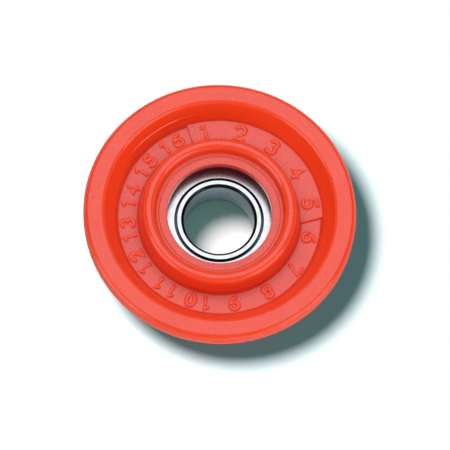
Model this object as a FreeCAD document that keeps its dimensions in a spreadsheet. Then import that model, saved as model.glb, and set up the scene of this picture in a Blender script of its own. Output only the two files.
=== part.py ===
import FreeCAD
import Part
import Sketcher

import os

# Pulley that turns on a shielded deep groove ball bearing.
# Millimetres. The axis of spin is Z and the underside lies on the plane z = 0.

DRIVING_SIZES = [
    # Pulley body
    ("rim_diameter", "65", "over the upper flange"),
    ("overall_height", "19.9", "underside to the flat top of the rim"),
    ("flange_edge", "3.75", "height of the upper flange at its edge"),
    ("lower_flange_diameter", "54.2", "over the lower flange"),
    ("groove_wall", "2.32", "seat of the bearing to the point where the flanks of the rope groove meet"),
    ("groove_half_angle", "34", "lower flank of the rope groove to the plane of the groove, degrees"),
    ("groove_root_radius", "3", "round bottom of the rope groove"),
    ("dish_mouth_diameter", "55.4", "upper dish at the flat top of the rim"),
    ("dish_floor_diameter", "48.6", "upper dish at the web"),
    ("dish_depth", "5.75", "flat top of the rim to the web"),
    ("hub_base_diameter", "39.3", "hub where it leaves the web"),
    ("ridge_diameter", "33.7", "middle of the hub ridge"),
    ("ridge_width", "2.7", "hub ridge across its top"),
    ("ridge_foot_diameter", "30.6", "inner foot of the hub ridge"),
    ("lip_opening_diameter", "25.1", "opening in both lips"),
    ("upper_lip", "4.45", "thickness of the lip over the bearing"),
    ("lip_edge", "2", "straight height of the edge of the upper lip"),
    ("lip_undercut", "1.6", "how far the upper lip is cut back at the bearing"),
    ("lower_lip", "2.6", "thickness of the lip under the bearing"),
    ("relief_outer_diameter", "48", "ring recess in the underside"),
    ("relief_inner_diameter", "38.4", "ring recess in the underside"),
    ("relief_depth", "1.5", "ring recess in the underside"),
    ("pad_height", "0.65", "raised sector of the web"),
    ("pad_start_angle", "2.6", "skewed end of the sector, at the middle of the web, degrees"),
    ("pad_skew_angle", "18", "turn of that end from the radial direction, degrees"),
    ("pad_end_angle", "113.5", "radial end of the sector, degrees"),
    ("witness_diameter", "29.05", "fine mould line on the upper lip"),
    ("witness_width", "0.28", "fine mould line on the upper lip"),
    ("witness_depth", "0.12", "fine mould line on the upper lip"),
    ("rim_corner_radius", "1.3", "outer top corner of the rim"),
    ("dish_mouth_radius", "1.2", "inner top corner of the rim"),
    ("ridge_radius", "1.3", "both top corners of the hub ridge"),
    ("flange_edge_radius", "0.8", "corners of both flanges beside the groove"),
    ("web_corner_radius", "0.5", "inside corners of the upper dish"),
    ("ridge_foot_radius", "0.6", "inside corner between the lip and the ridge"),
    ("lip_edge_radius", "0.4", "edge of each lip"),
    # Bearing
    ("bearing_bore", "17", "bore of the inner ring"),
    ("bearing_outer", "35", "outside of the outer ring"),
    ("bearing_width", "10", "both rings"),
    ("ring_face_width", "1.6", "face of the inner ring, bore to step"),
    ("shoulder_setback", "1.4", "depth of the step beside that face"),
    ("bore_chamfer", "0.52", "both ends of the bore"),
    ("outer_chamfer", "0.4", "outside edges of the outer ring"),
    ("race_opening", "3.2", "between the lands of the two rings"),
    ("race_conformity", "0.52", "radius of each race over the diameter of a ball"),
    ("ball_diameter", "4.76", "each ball"),
    ("ball_count", "10", "balls in the bearing"),
    ("ball_clearance", "0.03", "between a ball and each race"),
    ("shield_gap", "0.6", "between the inner ring and a shield"),
    ("shield_thickness", "0.35", "sheet of a shield"),
    ("shield_recess", "0.25", "face of the ring to the face of a shield"),
    ("shield_joggle", "0.4", "step down to the seated edge of a shield"),
    ("shield_seat_width", "0.6", "seat of a shield in the outer ring"),
    ("cage_width", "1.9", "ribbon of the cage, in radius"),
    ("cage_thickness", "0.45", "ribbon of the cage"),
    ("cage_clearance", "0.08", "between a ball and its pocket"),
    ("rivet_diameter", "0.8", "shank of a cage rivet"),
    ("rivet_head_diameter", "1.3", "head of a cage rivet"),
    ("rivet_head_height", "0.3", "head of a cage rivet"),
]

DERIVED_SIZES = [
    ("rim_radius", "=rim_diameter / 2"),
    ("bearing_floor", "=lower_lip"),
    ("bearing_top", "=lower_lip + bearing_width"),
    ("bearing_middle", "=lower_lip + bearing_width / 2"),
    ("underside", "=0"),
    ("flange_height", "=overall_height - flange_edge"),
    ("groove_slope", "=tan(groove_half_angle * 1deg)"),
    ("groove_point_radius", "=bearing_outer / 2 + groove_wall"),
    ("lower_flange_radius", "=lower_flange_diameter / 2"),
    ("lower_flange_height", "=bearing_middle - (lower_flange_radius - groove_point_radius) * groove_slope"),
    ("flange_edge_round", "=min(flange_edge_radius; lower_flange_height / 3)"),
    ("dish_mouth_edge", "=dish_mouth_diameter / 2"),
    ("rim_flat", "=rim_radius - dish_mouth_edge"),
    ("rim_corner_round", "=min(rim_corner_radius; rim_flat / 3)"),
    ("dish_mouth_round", "=min(dish_mouth_radius; rim_flat / 3)"),
    ("dish_floor_radius", "=dish_floor_diameter / 2"),
    ("web_height", "=overall_height - dish_depth"),
    ("hub_base_radius", "=hub_base_diameter / 2"),
    ("ridge_outer_radius", "=(ridge_diameter + ridge_width) / 2"),
    ("ridge_inner_radius", "=(ridge_diameter - ridge_width) / 2"),
    ("ridge_foot_edge", "=ridge_foot_diameter / 2"),
    ("lip_height", "=bearing_top + upper_lip"),
    ("lip_radius", "=lip_opening_diameter / 2"),
    ("lip_edge_floor", "=lip_height - lip_edge"),
    ("undercut_radius", "=lip_radius + lip_undercut"),
    ("ridge_rise", "=overall_height - lip_height"),
    ("foot_overhang", "=max(0; ridge_foot_edge - ridge_inner_radius)"),
    ("base_overhang", "=max(0; ridge_outer_radius - hub_base_radius)"),
    ("ridge_wall", "=ridge_width - foot_overhang - base_overhang"),
    ("ridge_round", "=min(ridge_radius; ridge_wall / 2; ridge_rise / 2)"),
    ("ridge_foot_round", "=min(ridge_foot_radius; ridge_rise / 4)"),
    ("relief_outer_radius", "=relief_outer_diameter / 2"),
    ("relief_inner_radius", "=relief_inner_diameter / 2"),
    ("pad_inner_radius", "=(ridge_outer_radius + hub_base_radius) / 2"),
    ("pad_outer_radius", "=(dish_mouth_edge + dish_floor_radius) / 2"),
    ("pad_pivot_radius", "=(hub_base_radius + dish_floor_radius) / 2"),
    ("pad_pivot_x", "=pad_pivot_radius * cos(pad_start_angle * 1deg)"),
    ("pad_pivot_y", "=pad_pivot_radius * sin(pad_start_angle * 1deg)"),
    ("witness_radius", "=witness_diameter / 2"),
    ("witness_outer_radius", "=(witness_diameter + witness_width) / 2"),
    ("witness_inner_radius", "=(witness_diameter - witness_width) / 2"),
    ("witness_floor", "=lip_height - witness_depth"),
    ("bore_radius", "=bearing_bore / 2"),
    ("bore_chamfer_radius", "=bore_radius + bore_chamfer"),
    ("bore_chamfer_floor", "=bearing_floor + bore_chamfer"),
    ("bore_chamfer_top", "=bearing_top - bore_chamfer"),
    ("ring_face_radius", "=bore_radius + ring_face_width"),
    ("seat_radius", "=bearing_outer / 2"),
    ("seat_chamfer_radius", "=seat_radius - outer_chamfer"),
    ("seat_chamfer_floor", "=bearing_floor + outer_chamfer"),
    ("seat_chamfer_top", "=bearing_top - outer_chamfer"),
    ("pitch_radius", "=(bearing_bore + bearing_outer) / 4"),
    ("ball_total", "=round(ball_count)"),
    ("ball_radius", "=ball_diameter / 2"),
    ("race_radius", "=race_conformity * ball_diameter"),
    ("inner_race_centre", "=pitch_radius - ball_radius - ball_clearance + race_radius"),
    ("outer_race_centre", "=pitch_radius + ball_radius + ball_clearance - race_radius"),
    ("inner_land_radius", "=pitch_radius - race_opening / 2"),
    ("outer_land_radius", "=pitch_radius + race_opening / 2"),
    ("shoulder_floor", "=bearing_floor + shoulder_setback"),
    ("shoulder_top", "=bearing_top - shoulder_setback"),
    ("shield_bore_radius", "=ring_face_radius + shield_gap"),
    ("shield_edge_radius", "=outer_land_radius + shield_seat_width"),
    ("shield_bend_radius", "=outer_land_radius - shield_seat_width"),
    ("shield_fold_radius", "=shield_bend_radius - shield_joggle"),
    ("shield_face", "=bearing_top - shield_recess"),
    ("shield_back", "=shield_face - shield_thickness"),
    ("shield_edge_face", "=shield_face - shield_joggle"),
    ("shield_edge_back", "=shield_back - shield_joggle"),
    ("low_shield_face", "=bearing_floor + shield_recess"),
    ("low_shield_back", "=low_shield_face + shield_thickness"),
    ("low_shield_edge_face", "=low_shield_face + shield_joggle"),
    ("low_shield_edge_back", "=low_shield_back + shield_joggle"),
    ("cage_outer_radius", "=pitch_radius + cage_width / 2"),
    ("cage_inner_radius", "=pitch_radius - cage_width / 2"),
    ("pocket_radius", "=ball_radius + cage_clearance"),
    ("dome_radius", "=pocket_radius + cage_thickness"),
    ("cage_floor", "=bearing_middle - cage_thickness"),
    ("cage_top", "=bearing_middle + cage_thickness"),
    ("dome_floor", "=bearing_middle - dome_radius"),
    ("dome_span", "=2 * dome_radius"),
    ("rivet_radius", "=rivet_diameter / 2"),
    ("rivet_head_radius", "=rivet_head_diameter / 2"),
    ("rivet_length", "=2 * cage_thickness"),
    ("rivet_head_floor", "=cage_floor - rivet_head_height"),
]

EDGE_TOLERANCE = 1e-4

doc = FreeCAD.newDocument("pulley")
sheet = doc.addObject("Spreadsheet::Sheet", "Dimensions")


def fill_sheet():
    row = 1
    for alias, text, meaning in DRIVING_SIZES:
        sheet.set("A%d" % row, meaning)
        sheet.set("B%d" % row, text)
        sheet.setAlias("B%d" % row, alias)
        row += 1
    for alias, formula in DERIVED_SIZES:
        sheet.set("A%d" % row, alias.replace("_", " "))
        sheet.set("B%d" % row, formula)
        sheet.setAlias("B%d" % row, alias)
        row += 1
    doc.recompute()


def size(alias):
    return float(sheet.get(alias))


def bind(item, prop, expression):
    item.setExpression(prop, expression)


def bind_size(item, prop, alias):
    bind(item, prop, "Dimensions." + alias)


def origin_plane(body, role):
    for feature in body.Origin.OriginFeatures:
        if feature.Role == role:
            return feature
    raise RuntimeError("no plane " + role)


def new_body(label):
    body = doc.addObject("PartDesign::Body", label)
    body.Label = label
    return body


def new_sketch(body, name, role):
    sketch = body.newObject("Sketcher::SketchObject", name)
    sketch.AttachmentSupport = [(origin_plane(body, role), "")]
    sketch.MapMode = "FlatFace"
    sketch.Visibility = False
    return sketch


def hold(sketch, name, constraint, expression):
    index = sketch.addConstraint(constraint)
    sketch.renameConstraint(index, name)
    bind(sketch, "Constraints." + name, expression)


def section_sketch(body, name, corners):
    """A closed outline in the half plane of radius and height, one (radius, height) pair a corner."""
    sketch = new_sketch(body, name, "XZ_Plane")
    points = [FreeCAD.Vector(size(radius), size(height), 0) for radius, height in corners]
    count = len(points)
    for index in range(count):
        sketch.addGeometry(Part.LineSegment(points[index], points[(index + 1) % count]), False)
    for index in range(count):
        sketch.addConstraint(Sketcher.Constraint("Coincident", index, 2, (index + 1) % count, 1))
    for index, (radius, height) in enumerate(corners):
        across = Sketcher.Constraint("DistanceX", -1, 1, index, 1, points[index].x)
        hold(sketch, "radius_%d" % index, across, "Dimensions." + radius)
        if height == "underside":
            sketch.addConstraint(Sketcher.Constraint("PointOnObject", index, 1, -1))
        else:
            above = Sketcher.Constraint("DistanceY", -1, 1, index, 1, points[index].y)
            hold(sketch, "height_%d" % index, above, "Dimensions." + height)
    return sketch


def turn(body, kind, name, sketch):
    feature = body.newObject(kind, name)
    feature.Profile = sketch
    feature.ReferenceAxis = (sketch, ["V_Axis"])
    feature.Angle = 360
    doc.recompute()
    return feature


def turned_body(label, corners):
    body = new_body(label)
    sketch = section_sketch(body, label + "_section", corners)
    turn(body, "PartDesign::Revolution", label + "_turn", sketch)
    return body


def ring_edge(shape, radius, height):
    """Name of the circular edge round the axis at a radius and height, both given by alias."""
    for number, edge in enumerate(shape.Edges, 1):
        curve = edge.Curve
        if not isinstance(curve, Part.Circle):
            continue
        centred = abs(curve.Center.x) < EDGE_TOLERANCE and abs(curve.Center.y) < EDGE_TOLERANCE
        level = abs(curve.Center.z - size(height)) < EDGE_TOLERANCE
        if centred and level and abs(curve.Radius - size(radius)) < EDGE_TOLERANCE:
            return "Edge%d" % number
    raise RuntimeError("no edge at %s, %s" % (radius, height))


def round_edges(body, name, places, radius):
    base = body.Tip
    fillet = body.newObject("PartDesign::Fillet", name)
    fillet.Base = (base, [ring_edge(base.Shape, *place) for place in places])
    bind_size(fillet, "Radius", radius)
    doc.recompute()


def race_groove(body, name, centre):
    sketch = new_sketch(body, name + "_section", "XZ_Plane")
    middle = FreeCAD.Vector(size(centre), size("bearing_middle"), 0)
    sketch.addGeometry(Part.Circle(middle, FreeCAD.Vector(0, 0, 1), size("race_radius")), False)
    across = Sketcher.Constraint("DistanceX", -1, 1, 0, 3, middle.x)
    above = Sketcher.Constraint("DistanceY", -1, 1, 0, 3, middle.y)
    hold(sketch, "centre_radius", across, "Dimensions." + centre)
    hold(sketch, "centre_height", above, "Dimensions.bearing_middle")
    hold(sketch, "race_radius", Sketcher.Constraint("Radius", 0, size("race_radius")), "Dimensions.race_radius")
    before = body.Shape.Volume
    turn(body, "PartDesign::Groove", name, sketch)
    if body.Shape.Volume >= before:
        raise RuntimeError(name + " removed nothing")


def pad_sketch(body):
    """The raised sector: two arcs round the axis, a skewed end and a radial end."""
    sketch = new_sketch(body, "pad_outline", "XY_Plane")
    bind_size(sketch, "AttachmentOffset.Base.z", "web_height")
    inner = size("pad_inner_radius")
    outer = size("pad_outer_radius")
    origin = FreeCAD.Vector(0, 0, 0)
    axis = FreeCAD.Vector(0, 0, 1)
    start = FreeCAD.Units.parseQuantity("%r deg" % size("pad_start_angle")).getValueAs("rad").Value
    finish = FreeCAD.Units.parseQuantity("%r deg" % size("pad_end_angle")).getValueAs("rad").Value
    inner_arc = Part.ArcOfCircle(Part.Circle(origin, axis, inner), start, finish)
    outer_arc = Part.ArcOfCircle(Part.Circle(origin, axis, outer), start, finish)
    pivot = FreeCAD.Vector(size("pad_pivot_x"), size("pad_pivot_y"), 0)
    sketch.addGeometry(inner_arc, False)
    sketch.addGeometry(outer_arc, False)
    sketch.addGeometry(Part.LineSegment(inner_arc.StartPoint, outer_arc.StartPoint), False)
    sketch.addGeometry(Part.LineSegment(inner_arc.EndPoint, outer_arc.EndPoint), False)
    sketch.addGeometry(Part.Point(pivot), True)
    for arc in (0, 1):
        sketch.addConstraint(Sketcher.Constraint("Coincident", arc, 3, -1, 1))
        sketch.addConstraint(Sketcher.Constraint("Coincident", 2, arc + 1, arc, 1))
        sketch.addConstraint(Sketcher.Constraint("Coincident", 3, arc + 1, arc, 2))
    sketch.addConstraint(Sketcher.Constraint("PointOnObject", -1, 1, 3))
    sketch.addConstraint(Sketcher.Constraint("PointOnObject", 4, 1, 2))
    hold(sketch, "inner_radius", Sketcher.Constraint("Radius", 0, inner), "Dimensions.pad_inner_radius")
    hold(sketch, "outer_radius", Sketcher.Constraint("Radius", 1, outer), "Dimensions.pad_outer_radius")
    hold(sketch, "pivot_x", Sketcher.Constraint("DistanceX", -1, 1, 4, 1, pivot.x), "Dimensions.pad_pivot_x")
    hold(sketch, "pivot_y", Sketcher.Constraint("DistanceY", -1, 1, 4, 1, pivot.y), "Dimensions.pad_pivot_y")
    hold(sketch, "radial_end", Sketcher.Constraint("Angle", 3, finish), "Dimensions.pad_end_angle * 1deg")
    skewed = "(Dimensions.pad_start_angle + Dimensions.pad_skew_angle) * 1deg"
    hold(sketch, "skewed_end", Sketcher.Constraint("Angle", 2, start), skewed)
    return sketch


def make_pulley_body():
    body = turned_body("pulley_body", [
        ("lip_radius", "underside"),
        ("lower_flange_radius", "underside"),
        ("lower_flange_radius", "lower_flange_height"),
        ("groove_point_radius", "bearing_middle"),
        ("rim_radius", "flange_height"),
        ("rim_radius", "overall_height"),
        ("dish_mouth_edge", "overall_height"),
        ("dish_floor_radius", "web_height"),
        ("hub_base_radius", "web_height"),
        ("ridge_outer_radius", "overall_height"),
        ("ridge_inner_radius", "overall_height"),
        ("ridge_foot_edge", "lip_height"),
        ("lip_radius", "lip_height"),
        ("lip_radius", "lip_edge_floor"),
        ("undercut_radius", "bearing_top"),
        ("seat_chamfer_radius", "bearing_top"),
        ("seat_radius", "seat_chamfer_top"),
        ("seat_radius", "seat_chamfer_floor"),
        ("seat_chamfer_radius", "bearing_floor"),
        ("lip_radius", "bearing_floor"),
    ])
    round_edges(body, "groove_root", [("groove_point_radius", "bearing_middle")], "groove_root_radius")
    round_edges(body, "rim_corner", [("rim_radius", "overall_height")], "rim_corner_round")
    round_edges(body, "dish_mouth", [("dish_mouth_edge", "overall_height")], "dish_mouth_round")
    round_edges(body, "hub_ridge", [
        ("ridge_outer_radius", "overall_height"),
        ("ridge_inner_radius", "overall_height"),
    ], "ridge_round")
    round_edges(body, "flange_edges", [
        ("rim_radius", "flange_height"),
        ("lower_flange_radius", "lower_flange_height"),
        ("lower_flange_radius", "underside"),
    ], "flange_edge_round")
    round_edges(body, "web_corners", [
        ("dish_floor_radius", "web_height"),
        ("hub_base_radius", "web_height"),
    ], "web_corner_radius")
    round_edges(body, "ridge_foot", [("ridge_foot_edge", "lip_height")], "ridge_foot_round")
    round_edges(body, "lip_edges", [("lip_radius", "lip_height"), ("lip_radius", "underside")], "lip_edge_radius")
    relief = section_sketch(body, "relief_section", [
        ("relief_inner_radius", "underside"),
        ("relief_outer_radius", "underside"),
        ("relief_outer_radius", "relief_depth"),
        ("relief_inner_radius", "relief_depth"),
    ])
    turn(body, "PartDesign::Groove", "underside_relief", relief)
    pad = body.newObject("PartDesign::Pad", "sector_pad")
    pad.Profile = pad_sketch(body)
    bind_size(pad, "Length", "pad_height")
    doc.recompute()
    witness = section_sketch(body, "witness_section", [
        ("witness_inner_radius", "lip_height"),
        ("witness_radius", "witness_floor"),
        ("witness_outer_radius", "lip_height"),
    ])
    turn(body, "PartDesign::Groove", "witness_line", witness)
    return body


def make_inner_ring():
    body = turned_body("inner_ring", [
        ("bore_radius", "bore_chamfer_floor"),
        ("bore_chamfer_radius", "bearing_floor"),
        ("ring_face_radius", "bearing_floor"),
        ("ring_face_radius", "shoulder_floor"),
        ("inner_land_radius", "shoulder_floor"),
        ("inner_land_radius", "shoulder_top"),
        ("ring_face_radius", "shoulder_top"),
        ("ring_face_radius", "bearing_top"),
        ("bore_chamfer_radius", "bearing_top"),
        ("bore_radius", "bore_chamfer_top"),
    ])
    race_groove(body, "inner_race", "inner_race_centre")
    return body


def make_outer_ring():
    body = turned_body("outer_ring", [
        ("shield_edge_radius", "bearing_floor"),
        ("seat_chamfer_radius", "bearing_floor"),
        ("seat_radius", "seat_chamfer_floor"),
        ("seat_radius", "seat_chamfer_top"),
        ("seat_chamfer_radius", "bearing_top"),
        ("shield_edge_radius", "bearing_top"),
        ("shield_edge_radius", "shield_edge_back"),
        ("outer_land_radius", "shield_edge_back"),
        ("outer_land_radius", "low_shield_edge_back"),
        ("shield_edge_radius", "low_shield_edge_back"),
    ])
    race_groove(body, "outer_race", "outer_race_centre")
    return body


def make_shield(label, face, back, edge_face, edge_back):
    return turned_body(label, [
        ("shield_bore_radius", back),
        ("shield_bore_radius", face),
        ("shield_fold_radius", face),
        ("shield_bend_radius", edge_face),
        ("shield_edge_radius", edge_face),
        ("shield_edge_radius", edge_back),
        ("shield_bend_radius", edge_back),
        ("shield_fold_radius", back),
    ])


def place_on_pitch(item, step, height):
    """Put a piece on the pitch circle, a number of ball spacings round from +X."""
    angle = "%r * 360deg / Dimensions.ball_total" % step
    bind(item, "Placement.Base.x", "Dimensions.pitch_radius * cos(%s)" % angle)
    bind(item, "Placement.Base.y", "Dimensions.pitch_radius * sin(%s)" % angle)
    bind_size(item, "Placement.Base.z", height)


def sphere(name, radius):
    item = doc.addObject("Part::Sphere", name)
    bind_size(item, "Radius", radius)
    return item


def cylinder(name, radius, height):
    item = doc.addObject("Part::Cylinder", name)
    bind_size(item, "Radius", radius)
    bind_size(item, "Height", height)
    return item


def fuse(name, items):
    item = doc.addObject("Part::MultiFuse", name)
    item.Shapes = items
    item.Refine = True
    return item


def cut(name, base, tool):
    item = doc.addObject("Part::Cut", name)
    item.Base = base
    item.Tool = tool
    return item


def make_balls():
    balls = []
    for number in range(int(size("ball_total"))):
        ball = sphere("ball_%02d" % (number + 1), "ball_radius")
        place_on_pitch(ball, number, "bearing_middle")
        balls.append(ball)
    return balls


def make_cage_half(label, ribbon_floor, low_latitude, high_latitude):
    """Half of the ribbon cage: a flat ring that rises in a dome over each ball."""
    ribbon = cylinder(label + "_ribbon", "cage_outer_radius", "cage_thickness")
    bind_size(ribbon, "Placement.Base.z", ribbon_floor)
    domes = []
    tools = []
    for number in range(int(size("ball_total"))):
        dome = sphere("%s_dome_%d" % (label, number), "dome_radius")
        dome.Angle1 = low_latitude
        dome.Angle2 = high_latitude
        place_on_pitch(dome, number, "bearing_middle")
        domes.append(dome)
        pocket = sphere("%s_pocket_%d" % (label, number), "pocket_radius")
        place_on_pitch(pocket, number, "bearing_middle")
        hole = cylinder("%s_hole_%d" % (label, number), "rivet_radius", "rivet_length")
        place_on_pitch(hole, number + 0.5, "cage_floor")
        tools += [pocket, hole]
    solid = fuse(label + "_solid", [ribbon] + domes)
    band_outside = cylinder(label + "_band_outside", "cage_outer_radius", "dome_span")
    band_inside = cylinder(label + "_band_inside", "cage_inner_radius", "dome_span")
    bind_size(band_outside, "Placement.Base.z", "dome_floor")
    bind_size(band_inside, "Placement.Base.z", "dome_floor")
    trimmed = doc.addObject("Part::MultiCommon", label + "_trimmed")
    trimmed.Shapes = [solid, cut(label + "_band", band_outside, band_inside)]
    half = cut(label, trimmed, fuse(label + "_tools", tools))
    half.Label = label
    return half


def make_rivets():
    rivets = []
    for number in range(int(size("ball_total"))):
        shank = cylinder("rivet_shank_%d" % number, "rivet_radius", "rivet_length")
        lower = cylinder("rivet_lower_head_%d" % number, "rivet_head_radius", "rivet_head_height")
        upper = cylinder("rivet_upper_head_%d" % number, "rivet_head_radius", "rivet_head_height")
        place_on_pitch(shank, number + 0.5, "cage_floor")
        place_on_pitch(lower, number + 0.5, "rivet_head_floor")
        place_on_pitch(upper, number + 0.5, "cage_top")
        rivets.append(fuse("rivet_%d" % number, [shank, lower, upper]))
    group = doc.addObject("Part::Compound", "cage_rivets")
    group.Links = rivets
    return group


def check_and_export(pieces):
    doc.recompute()
    for item in doc.Objects:
        if "Invalid" in item.State or "Error" in item.State:
            raise RuntimeError("%s is %s" % (item.Name, item.State))
    os.makedirs("parts", exist_ok=True)
    for piece in pieces:
        shape = piece.Shape
        if shape.isNull() or not shape.isValid():
            raise RuntimeError(piece.Label + " has no valid shape")
        shape.exportStep("parts/%s.step" % piece.Label)


fill_sheet()
pieces = [make_pulley_body(), make_inner_ring(), make_outer_ring()]
pieces.append(make_shield("upper_shield", "shield_face", "shield_back", "shield_edge_face", "shield_edge_back"))
pieces.append(make_shield("lower_shield", "low_shield_face", "low_shield_back",
                          "low_shield_edge_face", "low_shield_edge_back"))
pieces += make_balls()
pieces.append(make_cage_half("cage_upper_half", "bearing_middle", 0, 90))
pieces.append(make_cage_half("cage_lower_half", "cage_floor", -90, 0))
pieces.append(make_rivets())
check_and_export(pieces)
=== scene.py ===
import math

import bmesh
import bpy
from bpy.props import FloatProperty, FloatVectorProperty, IntProperty, PointerProperty
from bpy.types import Operator, Panel, PropertyGroup
from mathutils import Matrix, Vector


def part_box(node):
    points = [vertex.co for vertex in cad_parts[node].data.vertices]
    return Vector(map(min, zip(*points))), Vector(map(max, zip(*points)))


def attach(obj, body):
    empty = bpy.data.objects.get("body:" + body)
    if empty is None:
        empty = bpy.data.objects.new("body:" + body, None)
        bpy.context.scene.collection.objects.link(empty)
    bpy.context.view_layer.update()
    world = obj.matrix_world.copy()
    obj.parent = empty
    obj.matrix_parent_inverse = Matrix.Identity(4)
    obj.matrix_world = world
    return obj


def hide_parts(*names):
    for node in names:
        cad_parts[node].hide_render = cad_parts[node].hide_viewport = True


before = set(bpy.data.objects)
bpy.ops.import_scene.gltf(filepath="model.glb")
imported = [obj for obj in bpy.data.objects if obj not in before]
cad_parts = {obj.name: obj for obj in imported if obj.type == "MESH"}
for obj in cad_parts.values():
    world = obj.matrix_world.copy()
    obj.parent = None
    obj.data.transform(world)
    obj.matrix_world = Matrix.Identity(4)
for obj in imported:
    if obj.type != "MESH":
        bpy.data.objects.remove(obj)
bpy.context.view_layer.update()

bl_info = {
    "name": "Flanged Pulley",
    "version": (1, 0, 0),
    "blender": (4, 5, 0),
    "location": "View3D > Sidebar > Pulley",
    "description": "Dresses a moulded pulley, its ball bearing and a plain white stage",
    "category": "Object",
}

MM = 0.001
BODY_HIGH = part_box("pulley_body")[1]
RING_LOW, RING_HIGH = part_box("inner_ring")
SHIELD_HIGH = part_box("upper_shield")[1]


# Sizes and colours that a user would change


def real(name, description, default, **kind):
    return FloatProperty(name=name, description=description, default=default, **kind)


def triple(name, description, default, **kind):
    return FloatVectorProperty(name=name, description=description, default=default, **kind)


def whole(name, description, default, least):
    return IntProperty(name=name, description=description, default=default, min=least)


def length(name, description, millimetres):
    metres = millimetres * MM
    return real(name, description, metres, min=0.0, precision=5, unit="LENGTH", subtype="DISTANCE")


def angle(name, description, degrees):
    return real(name, description, math.radians(degrees), unit="ROTATION", subtype="ANGLE")


def power(name, description, watts):
    return real(name, description, watts, unit="POWER")


def position(name, description, *metres):
    return triple(name, description, metres, unit="LENGTH", subtype="TRANSLATION")


def colour(name, description, *channels):
    return triple(name, description, channels, min=0.0, max=1.0, subtype="COLOR")


class BodySizes(PropertyGroup):
    """Section of the moulded body, measured from the axis and from the underside."""

    rim_radius: length("Rim radius", "Over the upper flange", BODY_HIGH.x / MM)
    overall_height: length("Height", "Underside to the flat top of the rim", BODY_HIGH.z / MM)
    flange_edge: length("Flange edge", "Height of the upper flange at its edge", 3.75)
    rim_corner: length("Rim corner", "Rounding of the outer top corner of the rim", 1.45)
    lower_flange_radius: length("Lower flange radius", "Over the lower flange", 27.1)
    lower_flange_edge: length("Lower flange edge", "Height of the lower flange at its edge", 2.69)
    flange_corner: length("Flange corner", "Rounding of both flanges beside the groove", 0.8)
    groove_point: length("Groove point", "Radius where the flanks of the groove meet", 19.82)
    groove_root: length("Groove root", "Rounding at the bottom of the groove", 3.0)
    dish_mouth: length("Dish mouth", "Radius of the dish at the flat top of the rim", 27.7)
    dish_mouth_corner: length("Dish mouth corner", "Rounding of the inner top corner of the rim", 1.2)
    dish_floor: length("Dish floor", "Radius of the dish at the web", 24.3)
    dish_depth: length("Dish depth", "Flat top of the rim to the web", 5.75)
    web_corner: length("Web corner", "Rounding of the inside corners of the dish", 0.5)
    ledge_radius: length("Ledge radius", "Soft ledge half way down the slope of the dish", 26.05)
    ledge_height: length("Ledge height", "That ledge below the flat top of the rim", 2.70)
    ledge_width: length("Ledge width", "How wide the ledge is", 0.34)
    ledge_fall: length("Ledge fall", "How far the ledge falls across its width", 0.26)
    ledge_corner: length("Ledge corner", "Rounding of both edges of the ledge", 0.85)
    ledge_turn: angle("Ledge turn", "Middle of the arc where the ledge stands out", 131.0)
    ledge_reach: angle("Ledge reach", "Full ledge on each side of that middle", 6.0)
    ledge_fade: angle("Ledge fade", "Arc beyond that over which the ledge fades out", 30.0)
    hub_base: length("Hub base", "Radius of the hub where it leaves the web", 19.65)
    ridge_outer: length("Ridge outside", "Outer radius of the hub ridge at its top", 18.2)
    ridge_inner: length("Ridge inside", "Inner radius of the hub ridge at its top", 15.5)
    ridge_corner: length("Ridge corner", "Rounding of the top of the hub ridge", 1.5)
    ridge_foot: length("Ridge foot", "Inner radius of the ridge at the lip", 15.3)
    ridge_foot_corner: length("Ridge foot corner", "Rounding between the lip and the ridge", 0.45)
    lip_height: length("Lip height", "Underside to the flat face of the upper lip", 17.05)
    lip_radius: length("Lip radius", "Opening in both lips", 12.55)
    lip_corner: length("Lip corner", "Rounding of the edge of each lip", 0.25)
    lip_lower_corner: length("Lip lower corner", "Rounding under the edge of the upper lip", 0.10)
    lip_edge: length("Lip edge", "Straight height of the edge of the upper lip", 2.0)
    lip_undercut: length("Lip undercut", "How far the lip is cut back below its edge", 1.6)
    witness_radius: length("Mould line radius", "Fine mould line on the upper lip", 14.525)
    witness_width: length("Mould line width", "Fine mould line on the upper lip", 0.28)
    witness_depth: length("Mould line depth", "Fine mould line on the upper lip", 0.08)
    relief_outer: length("Relief outside", "Ring recess in the underside", 24.0)
    relief_inner: length("Relief inside", "Ring recess in the underside", 19.2)
    relief_depth: length("Relief depth", "Ring recess in the underside", 1.5)
    relief_corner: length("Relief corner", "Rounding of the ring recess", 0.25)
    pad_height: length("Pad height", "Raised sector above the web", 0.65)
    pad_corner: length("Pad corner", "Rounding of both ends of the raised sector", 0.50)
    pad_start: angle("Pad start", "Skewed end of the sector at the middle of the web", 2.6)
    pad_skew: angle("Pad skew", "Turn of that end from the radial direction", 18.0)
    pad_end: angle("Pad end", "Radial end of the sector", 113.5)
    turn_steps: whole("Steps", "Steps in one turn of a section", 216, 24)


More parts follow.
